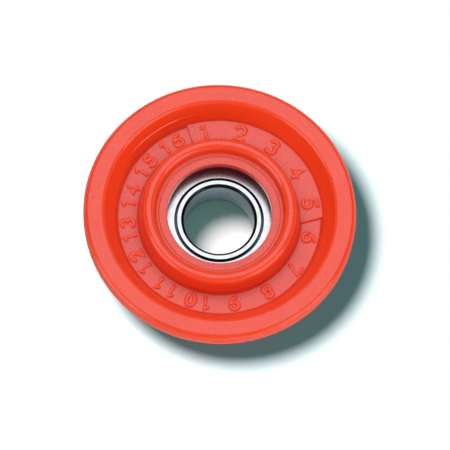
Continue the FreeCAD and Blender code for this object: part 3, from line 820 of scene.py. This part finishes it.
class PULLEY_OT_index_numbers(Operator):
    """Model the raised index numbers on the web as round strokes"""

    bl_idname = "pulley.index_numbers"
    bl_label = "Index Numbers"

    def execute(self, context):
        sizes = context.scene.pulley_numerals
        body = context.scene.pulley_body
        web = body.overall_height - body.dish_depth
        models = {}
        digits = []
        for count in range(1, sizes.count + 1):
            on_pad = count <= sizes.on_pad
            size = sizes.pad_size if on_pad else sizes.web_size
            level = web + (body.pad_height if on_pad else 0.0)
            middle = sizes.first - (count - 1) * 2 * math.pi / sizes.count
            text = str(count)
            for place, digit in enumerate(text):
                turn = (place - (len(text) - 1) / 2) * sizes.pitch / sizes.radius
                if (digit, size) not in models:
                    models[digit, size] = self.digit_model(digit, size, sizes)
                digits.append(self.placed_copy(models[digit, size], middle - turn, sizes.radius, level))
        for model in models.values():
            bpy.data.objects.remove(model)
        pick_up(*digits)
        bpy.ops.object.join()
        numbers = context.object
        numbers.name = "index_numbers"
        numbers.data.name = "index_numbers"
        bpy.ops.object.shade_smooth()
        colours = context.scene.pulley_colours
        # The numbers are wholly in the brighter orange of painted light
        plastic = orange_plastic("smooth_plastic_painted_light", colours, colours.plastic_wall, self.feet)
        dress(numbers, "wheel", "orange_plastic", plastic)
        return {"FINISHED"}

    def feet(self, place):
        """Painted shade at the foot of each stroke, on the web or on the raised sector."""
        body, web, z, _ = on_body(place)
        pad = web + body.pad_height
        return band(z, web - 0.2, web + 0.10, 0.15) + band(z, pad - 0.1, pad + 0.10, 0.15)

    def digit_model(self, digit, size, sizes):
        """One digit as a mesh, lying flat on its foot with its middle at the origin."""
        strokes = self.stroke_mesh(digit, size, sizes.breadth, sizes.stroke)
        strokes.location.z = sizes.rise - sizes.stroke
        foot = self.stroke_mesh(digit, size, sizes.breadth, sizes.stroke + sizes.foot)
        foot.scale.z = sizes.foot_rise / (sizes.stroke + sizes.foot)
        pick_up(strokes, foot)
        bpy.ops.object.transform_apply(location=True, rotation=True, scale=True)
        bpy.ops.object.join()
        return bpy.context.object

    def stroke_mesh(self, digit, size, breadth, stroke):
        """The strokes of one digit as round tubes."""
        curve = bpy.data.curves.new("digit", "CURVE")
        curve.dimensions = "3D"
        curve.bevel_depth = stroke
        curve.bevel_resolution = STROKE_STEPS
        for points, closed in DIGIT_STROKES[digit]:
            points = [
                Vector(((x - DIGIT_WIDTH / 2) * size * breadth, (y - 0.5) * size, 0)) for x, y in points
            ]
            radii = [1.0] * len(points)
            if not closed:
                points, radii = self.round_ends(points, stroke)
            spline = curve.splines.new("POLY")
            spline.points.add(len(points) - 1)
            spline.use_cyclic_u = closed
            for knot, point, radius in zip(spline.points, points, radii):
                knot.co = (*point, 1.0)
                knot.radius = radius
        model = bpy.data.objects.new("digit", curve)
        bpy.context.scene.collection.objects.link(model)
        pick_up(model)
        bpy.ops.object.convert(target="MESH")
        return bpy.context.object

    def round_ends(self, points, stroke):
        """Adds the points and radii that close each end of a stroke in a half ball."""
        first = (points[0] - points[1]).normalized()
        last = (points[-1] - points[-2]).normalized()
        rows = [math.radians(row) for row in END_ROWS]
        head = [(points[0] + first * stroke * math.sin(row), math.cos(row)) for row in rows]
        tail = [(points[-1] + last * stroke * math.sin(row), math.cos(row)) for row in reversed(rows)]
        knots = head + [(point, 1.0) for point in points] + tail
        return [point for point, radius in knots], [radius for point, radius in knots]

    def placed_copy(self, model, azimuth, radius, level):
        """A copy of a digit at its place round the web, with its top away from the axis."""
        pick_up(model)
        bpy.ops.object.duplicate()
        copy = bpy.context.object
        spot = Vector((math.cos(azimuth) * radius, math.sin(azimuth) * radius, level))
        copy.matrix_world = Matrix.Translation(spot) @ Matrix.Rotation(azimuth - math.pi / 2, 4, "Z")
        bpy.ops.object.transform_apply(location=True, rotation=True, scale=True)
        return copy


# Share of the race's round that rounds each corner at its bottom
RACE_SHARE = 0.4
# What is added to the roughness on the wall of the bore
BORE_ROUGH = 0.20


class PULLEY_OT_inner_ring(Operator):
    """Model the inner ring of the bearing with its race, step and chamfered bore"""

    bl_idname = "pulley.inner_ring"
    bl_label = "Inner Ring"

    def execute(self, context):
        sizes = context.scene.pulley_bearing
        colours = context.scene.pulley_colours
        # The bore wall patch is painted light; the dark step patch is painted shade
        patches = ((self.bored, colours.bore_wall, BORE_ROUGH), (self.unground, colours.unground, 0.0))
        steel = turned_steel(
            "ground_steel", colours.ring, rough=0.12, lines=26.0, line_depth=0.004 * MM, patches=patches
        )
        ring = turned_piece("bearing_inner_ring", self.section(sizes), context.scene.pulley_body.turn_steps)
        dress(ring, "bearing_inner", "ring_steel", steel, "inner_ring")
        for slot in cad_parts["outer_ring"].material_slots:
            slot.material = steel
        return {"FINISHED"}

    def unground(self, place):
        """The chamfers of the bore are dark, not ground, and the step beside the shield is painted dark as
        shade in the gap.
        """
        sizes, z, radius = on_bearing(place)
        middle = (sizes.floor + sizes.top) / 2
        half = sizes.top - middle
        from_middle = place.math("ABSOLUTE", z - middle)
        beyond_face = radius.step(sizes.face_radius - 0.02, sizes.face_radius + 0.02)
        gap_shade = beyond_face * (1 - from_middle.step(half - 0.12, half - 0.04))
        chamfer_edge = sizes.bore_radius + sizes.bore_chamfer
        chamfer_foot = half - sizes.bore_chamfer
        on_chamfer = 1 - radius.step(chamfer_edge - 0.06, chamfer_edge)
        on_chamfer = on_chamfer * from_middle.step(chamfer_foot - 0.45, chamfer_foot)
        return place.math("MAXIMUM", gap_shade, on_chamfer)

    def bored(self, place):
        """The wall of the bore between its chamfers is duller, and its steel has a colour of its own that
        lifts the dark reflection of the shaded floor there: painted light.
        """
        sizes, z, radius = on_bearing(place)
        wall = 1 - radius.step(sizes.bore_radius + 0.04, sizes.bore_radius + 0.10)
        return wall * band(z, sizes.floor + sizes.bore_chamfer, sizes.top - sizes.bore_chamfer, 0.04)

    def section(self, sizes):
        """Corners of the lower half from the bore outwards, then of the upper half back to the bore."""
        middle = (sizes.floor + sizes.top) / 2
        reach = sizes.race_centre - sizes.land_radius
        half_width = math.sqrt(sizes.race_radius**2 - reach**2)
        root = sizes.race_centre - sizes.race_radius
        tangent = half_width - (sizes.land_radius - root) * reach / half_width
        edge = sizes.ring_corner
        lower = [
            (sizes.bore_radius, sizes.floor + sizes.bore_chamfer, edge),
            (sizes.bore_radius + sizes.bore_chamfer, sizes.floor, edge),
            (sizes.face_radius, sizes.floor, edge),
            (sizes.face_radius, sizes.floor + sizes.shoulder_setback, edge),
            (sizes.land_radius, sizes.floor + sizes.shoulder_setback, edge),
            (sizes.land_radius, middle - half_width, edge),
            (root, middle - tangent, sizes.race_radius * RACE_SHARE),
        ]
        return lower + [(radius, 2 * middle - height, corner) for radius, height, corner in reversed(lower)]


class PULLEY_OT_shields(Operator):
    """Model the two pressed shields of the bearing"""

    bl_idname = "pulley.shields"
    bl_label = "Shields"

    def execute(self, context):
        sizes = context.scene.pulley_bearing
        steps = context.scene.pulley_body.turn_steps
        colours = context.scene.pulley_colours
        steel = turned_steel("bright_sheet", colours.shield, rough=0.14, lines=5.0, line_depth=0.006 * MM)
        for name, node, face, inwards in (
            ("bearing_upper_shield", "upper_shield", sizes.top - sizes.shield_recess, -1),
            ("bearing_lower_shield", "lower_shield", sizes.floor + sizes.shield_recess, 1),
        ):
            shield = turned_piece(name, self.section(sizes, face, inwards), steps)
            dress(shield, "wheel", "shield_steel", steel, node)
        return {"FINISHED"}

    def section(self, sizes, face, inwards):
        """Corners of the sheet, from its bore along the face to the seated edge and back."""
        back = face + inwards * sizes.shield_sheet
        step = inwards * sizes.shield_joggle
        return [
            (sizes.shield_bore, back, sizes.shield_corner),
            (sizes.shield_bore, face, sizes.shield_corner),
            (sizes.shield_fold, face, sizes.shield_corner),
            (sizes.shield_bend, face + step, sizes.shield_corner),
            (sizes.shield_edge, face + step, 0),
            (sizes.shield_edge, back + step, 0),
            (sizes.shield_bend, back + step, sizes.shield_corner),
            (sizes.shield_fold, back, sizes.shield_corner),
        ]


class PULLEY_OT_running_parts(Operator):
    """Give the balls, the cage and its rivets their steels"""

    bl_idname = "pulley.running_parts"
    bl_label = "Balls and Cage"

    def execute(self, context):
        colours = context.scene.pulley_colours
        ball = turned_steel("polished_steel", colours.ball, rough=0.05, lines=2.0, line_depth=0.001 * MM)
        cage = turned_steel("ribbon_steel", colours.cage, rough=0.28, lines=4.0, line_depth=0.006 * MM)
        for name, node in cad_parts.items():
            steel = {"ball": ball, "cage": cage}.get(name.split("_")[0])
            for slot in node.material_slots:
                slot.material = steel or slot.material
        return {"FINISHED"}


FLOOR_SIZE = 40.0
# Radii in millimetres between which the floor turns white
FAR_FLOOR = (40.0, 420.0)
WHITE = (1.0, 1.0, 1.0)
FLOOR_SHADE = 0.985
FLOOR_ROUGH = 0.9
# Floor under the bore: its radius over that of the bore, its sides and its height above the floor
BORE_FLOOR_SHARE, BORE_FLOOR_SIDES, BORE_FLOOR_LIFT = 1.3, 96, 0.05 * MM
# Upward part of a direction between which the studio turns from pale to dark
HORIZON = (0.08, 0.30)


class PULLEY_OT_stage(Operator):
    """Set up the white floor, the studio light and the camera"""

    bl_idname = "pulley.stage"
    bl_label = "Stage"

    def execute(self, context):
        settings = context.scene.pulley_stage
        colours = context.scene.pulley_colours
        context.scene.view_settings.view_transform = "Standard"
        floor, patch = self.floors(context.scene.pulley_bearing, colours)
        self.surround(context, colours)
        self.studio(settings, (floor, patch))
        self.shadow_lamp(settings, floor)
        self.bore_lamp(settings, patch)
        self.camera(context, settings)
        return {"FINISHED"}

    def floors(self, bearing, colours):
        """The floor, and a round of it under the bore, where the light can be set apart."""
        bpy.ops.mesh.primitive_plane_add(size=FLOOR_SIZE)
        floor = self.laid("floor", colours.floor, colours.floor_glow)
        bpy.ops.mesh.primitive_circle_add(
            vertices=BORE_FLOOR_SIDES,
            radius=bearing.bore_radius * BORE_FLOOR_SHARE,
            fill_type="NGON",
            location=(0, 0, BORE_FLOOR_LIFT),
        )
        return floor, self.laid("bore_floor", colours.bore_floor, colours.bore_glow)

    def laid(self, name, base, glow):
        """Names the newest mesh, gives it a floor's finish and puts it on the stage."""
        floor = bpy.context.object
        floor.name = name
        floor.data.materials.append(self.floor_finish(name + "_white", base, glow))
        floor.visible_diffuse = False
        return floor

    def floor_finish(self, name, base, glow):
        """A pale matt floor with a little light of its own, white far away and clear from below."""
        material, place = new_finish(name)
        shade = place.noise(*FLOOR_CLOUDS).step(*MOTTLE_STEP)
        far = split(place)[3].step(*FAR_FLOOR)
        inputs = {
            "Base Color": shade.mix(base, [part * FLOOR_SHADE for part in base]),
            "Roughness": FLOOR_ROUGH,
            "Specular IOR Level": 0.0,
            "Emission Color": far.mix(glow, WHITE),
            "Emission Strength": 1.0,
        }
        lit = place.node("ShaderNodeBsdfPrincipled", inputs)
        clear = place.node("ShaderNodeBsdfTransparent")
        below = place.node("ShaderNodeNewGeometry", output="Backfacing")
        place.node("ShaderNodeMixShader", {0: below, 1: lit, 2: clear}).put_out()
        return material

    def surround(self, context, colours):
        """A studio that is pale near the floor and darker overhead."""
        world = bpy.data.worlds.new("studio")
        context.scene.world = world
        world.use_nodes = True
        world.node_tree.nodes.clear()
        way = Value(world.node_tree).node("ShaderNodeTexCoord", output="Generated")
        shade = way.part(2).step(*HORIZON).mix(colours.below, colours.surround)
        way.node("ShaderNodeBackground", {"Color": shade, "Strength": 1.0}).put_out("ShaderNodeOutputWorld")

    def studio(self, settings, floors):
        """Lamps for the pulley: a softbox behind, soft light overhead and in front, two cards to reflect."""
        far = settings.lamp_distance
        key = Vector((-math.tan(settings.key_left), math.tan(settings.key_back), 1.0)) * far
        overhead = Vector((-math.tan(settings.overhead_left), math.tan(settings.overhead_back), 1.0)) * far
        turn = settings.fill_turn
        front = Vector((math.cos(turn), math.sin(turn), math.tan(settings.fill_rise))) * far
        lamps = [
            self.lamp("key", key, settings.key_power, settings.key_width),
            self.lamp("overhead", overhead, settings.overhead_power, settings.overhead_width),
            self.lamp("fill", front, settings.fill_power, settings.fill_width),
        ]
        lamps[0].visible_diffuse = False
        for lamp in lamps[1:]:
            lamp.visible_glossy = False
        for name, turn in (("left_card", settings.left_card), ("right_card", settings.right_card)):
            spot = Vector((math.cos(turn), math.sin(turn), math.tan(settings.card_rise))).normalized() * far
            card = self.lamp(name, spot, settings.card_power, settings.card_width, settings.card_height)
            card.visible_diffuse = False
            lamps.append(card)
        for lamp in lamps:
            self.link_light(lamp, floors, "EXCLUDE")

    def hang(self, kind, name, spot, way):
        """A new lamp of one kind at a place, shining one way."""
        bpy.ops.object.light_add(type=kind, location=spot)
        lamp = bpy.context.object
        lamp.name = name
        lamp.rotation_mode = "QUATERNION"
        lamp.rotation_quaternion = way.to_track_quat("-Z", "Y")
        return lamp

    def lamp(self, name, spot, power, width, height=None, aim=(0, 0, 0)):
        """A round lamp, or an oblong one where a height is given, that points at a place."""
        lamp = self.hang("AREA", name, spot, Vector(aim) - spot)
        lamp.data.shape = "RECTANGLE" if height else "DISK"
        lamp.data.size = width
        lamp.data.size_y = height or width
        lamp.data.energy = power
        lamp.visible_camera = False
        return lamp

    def shadow_lamp(self, settings, floor):
        """A round lamp over the floor that casts the soft shadow."""
        spot, aim = Vector(settings.shadow_place), settings.shadow_aim
        lamp = self.lamp("shadow_lamp", spot, settings.shadow_power, settings.shadow_width, aim=aim)
        lamp.data.color = settings.shadow_colour
        lamp.visible_glossy = False
        self.link_light(lamp, (floor,), "INCLUDE")

    def bore_lamp(self, settings, patch):
        """Light that comes through the bore to the floor below."""
        reach = Vector(settings.bore_reach)
        lamp = self.hang("SUN", "bore_lamp", (0, 0, settings.lamp_distance), reach)
        lamp.data.color = settings.bore_colour
        lamp.data.energy = settings.bore_strength * reach.length
        lamp.data.angle = settings.bore_width
        self.link_light(lamp, (patch,), "INCLUDE")

    def link_light(self, lamp, floors, state):
        """Keeps the floors out of the light of a lamp, or its light to the floors alone."""
        group = bpy.data.collections.new(lamp.name + "_receivers")
        for index, floor in enumerate(floors):
            group.objects.link(floor)
            group.collection_objects[index].light_linking.link_state = state
        lamp.light_linking.receiver_collection = group

    def camera(self, context, settings):
        """The camera, tilted off the axis and rolled, aimed at the middle of the bearing's face."""
        data = bpy.data.cameras.new("camera")
        camera = bpy.data.objects.new("camera", data)
        context.scene.collection.objects.link(camera)
        context.scene.camera = camera
        data.lens = settings.lens
        data.shift_x = settings.shift_x
        data.shift_y = settings.shift_y
        aim = Matrix.Translation((0, 0, context.scene.pulley_bearing.top))
        turn = Matrix.Rotation(settings.tilt, 4, "X") @ Matrix.Rotation(settings.roll, 4, "Z")
        camera.matrix_world = aim @ turn @ Matrix.Translation((0, 0, settings.distance))


class PULLEY_PT_panel(Panel):
    """Steps and settings of the pulley"""

    bl_idname = "PULLEY_PT_panel"
    bl_label = "Pulley"
    bl_space_type = "VIEW_3D"
    bl_region_type = "UI"
    bl_category = "Pulley"

    def draw(self, context):
        for step in STEPS:
            self.layout.operator(step.bl_idname)
        for name, group in GROUPS.items():
            box = self.layout.box()
            settings = getattr(context.scene, name)
            for setting in group.__annotations__:
                box.prop(settings, setting)


STEPS = (
    PULLEY_OT_moulded_body,
    PULLEY_OT_index_numbers,
    PULLEY_OT_inner_ring,
    PULLEY_OT_shields,
    PULLEY_OT_running_parts,
    PULLEY_OT_stage,
)
GROUPS = {
    "pulley_body": BodySizes,
    "pulley_bearing": BearingSizes,
    "pulley_numerals": NumeralSizes,
    "pulley_colours": FinishColours,
    "pulley_stage": StageSettings,
}


def register():
    for name, group in GROUPS.items():
        bpy.utils.register_class(group)
        setattr(bpy.types.Scene, name, PointerProperty(type=group))
    for item in STEPS + (PULLEY_PT_panel,):
        bpy.utils.register_class(item)


def unregister():
    for item in STEPS + (PULLEY_PT_panel,):
        bpy.utils.unregister_class(item)
    for name, group in GROUPS.items():
        delattr(bpy.types.Scene, name)
        bpy.utils.unregister_class(group)


def main():
    register()
    bpy.ops.pulley.moulded_body()
    bpy.ops.pulley.index_numbers()
    bpy.ops.pulley.inner_ring()
    bpy.ops.pulley.shields()
    bpy.ops.pulley.running_parts()
    bpy.ops.pulley.stage()


if __name__ == "__main__":
    main()
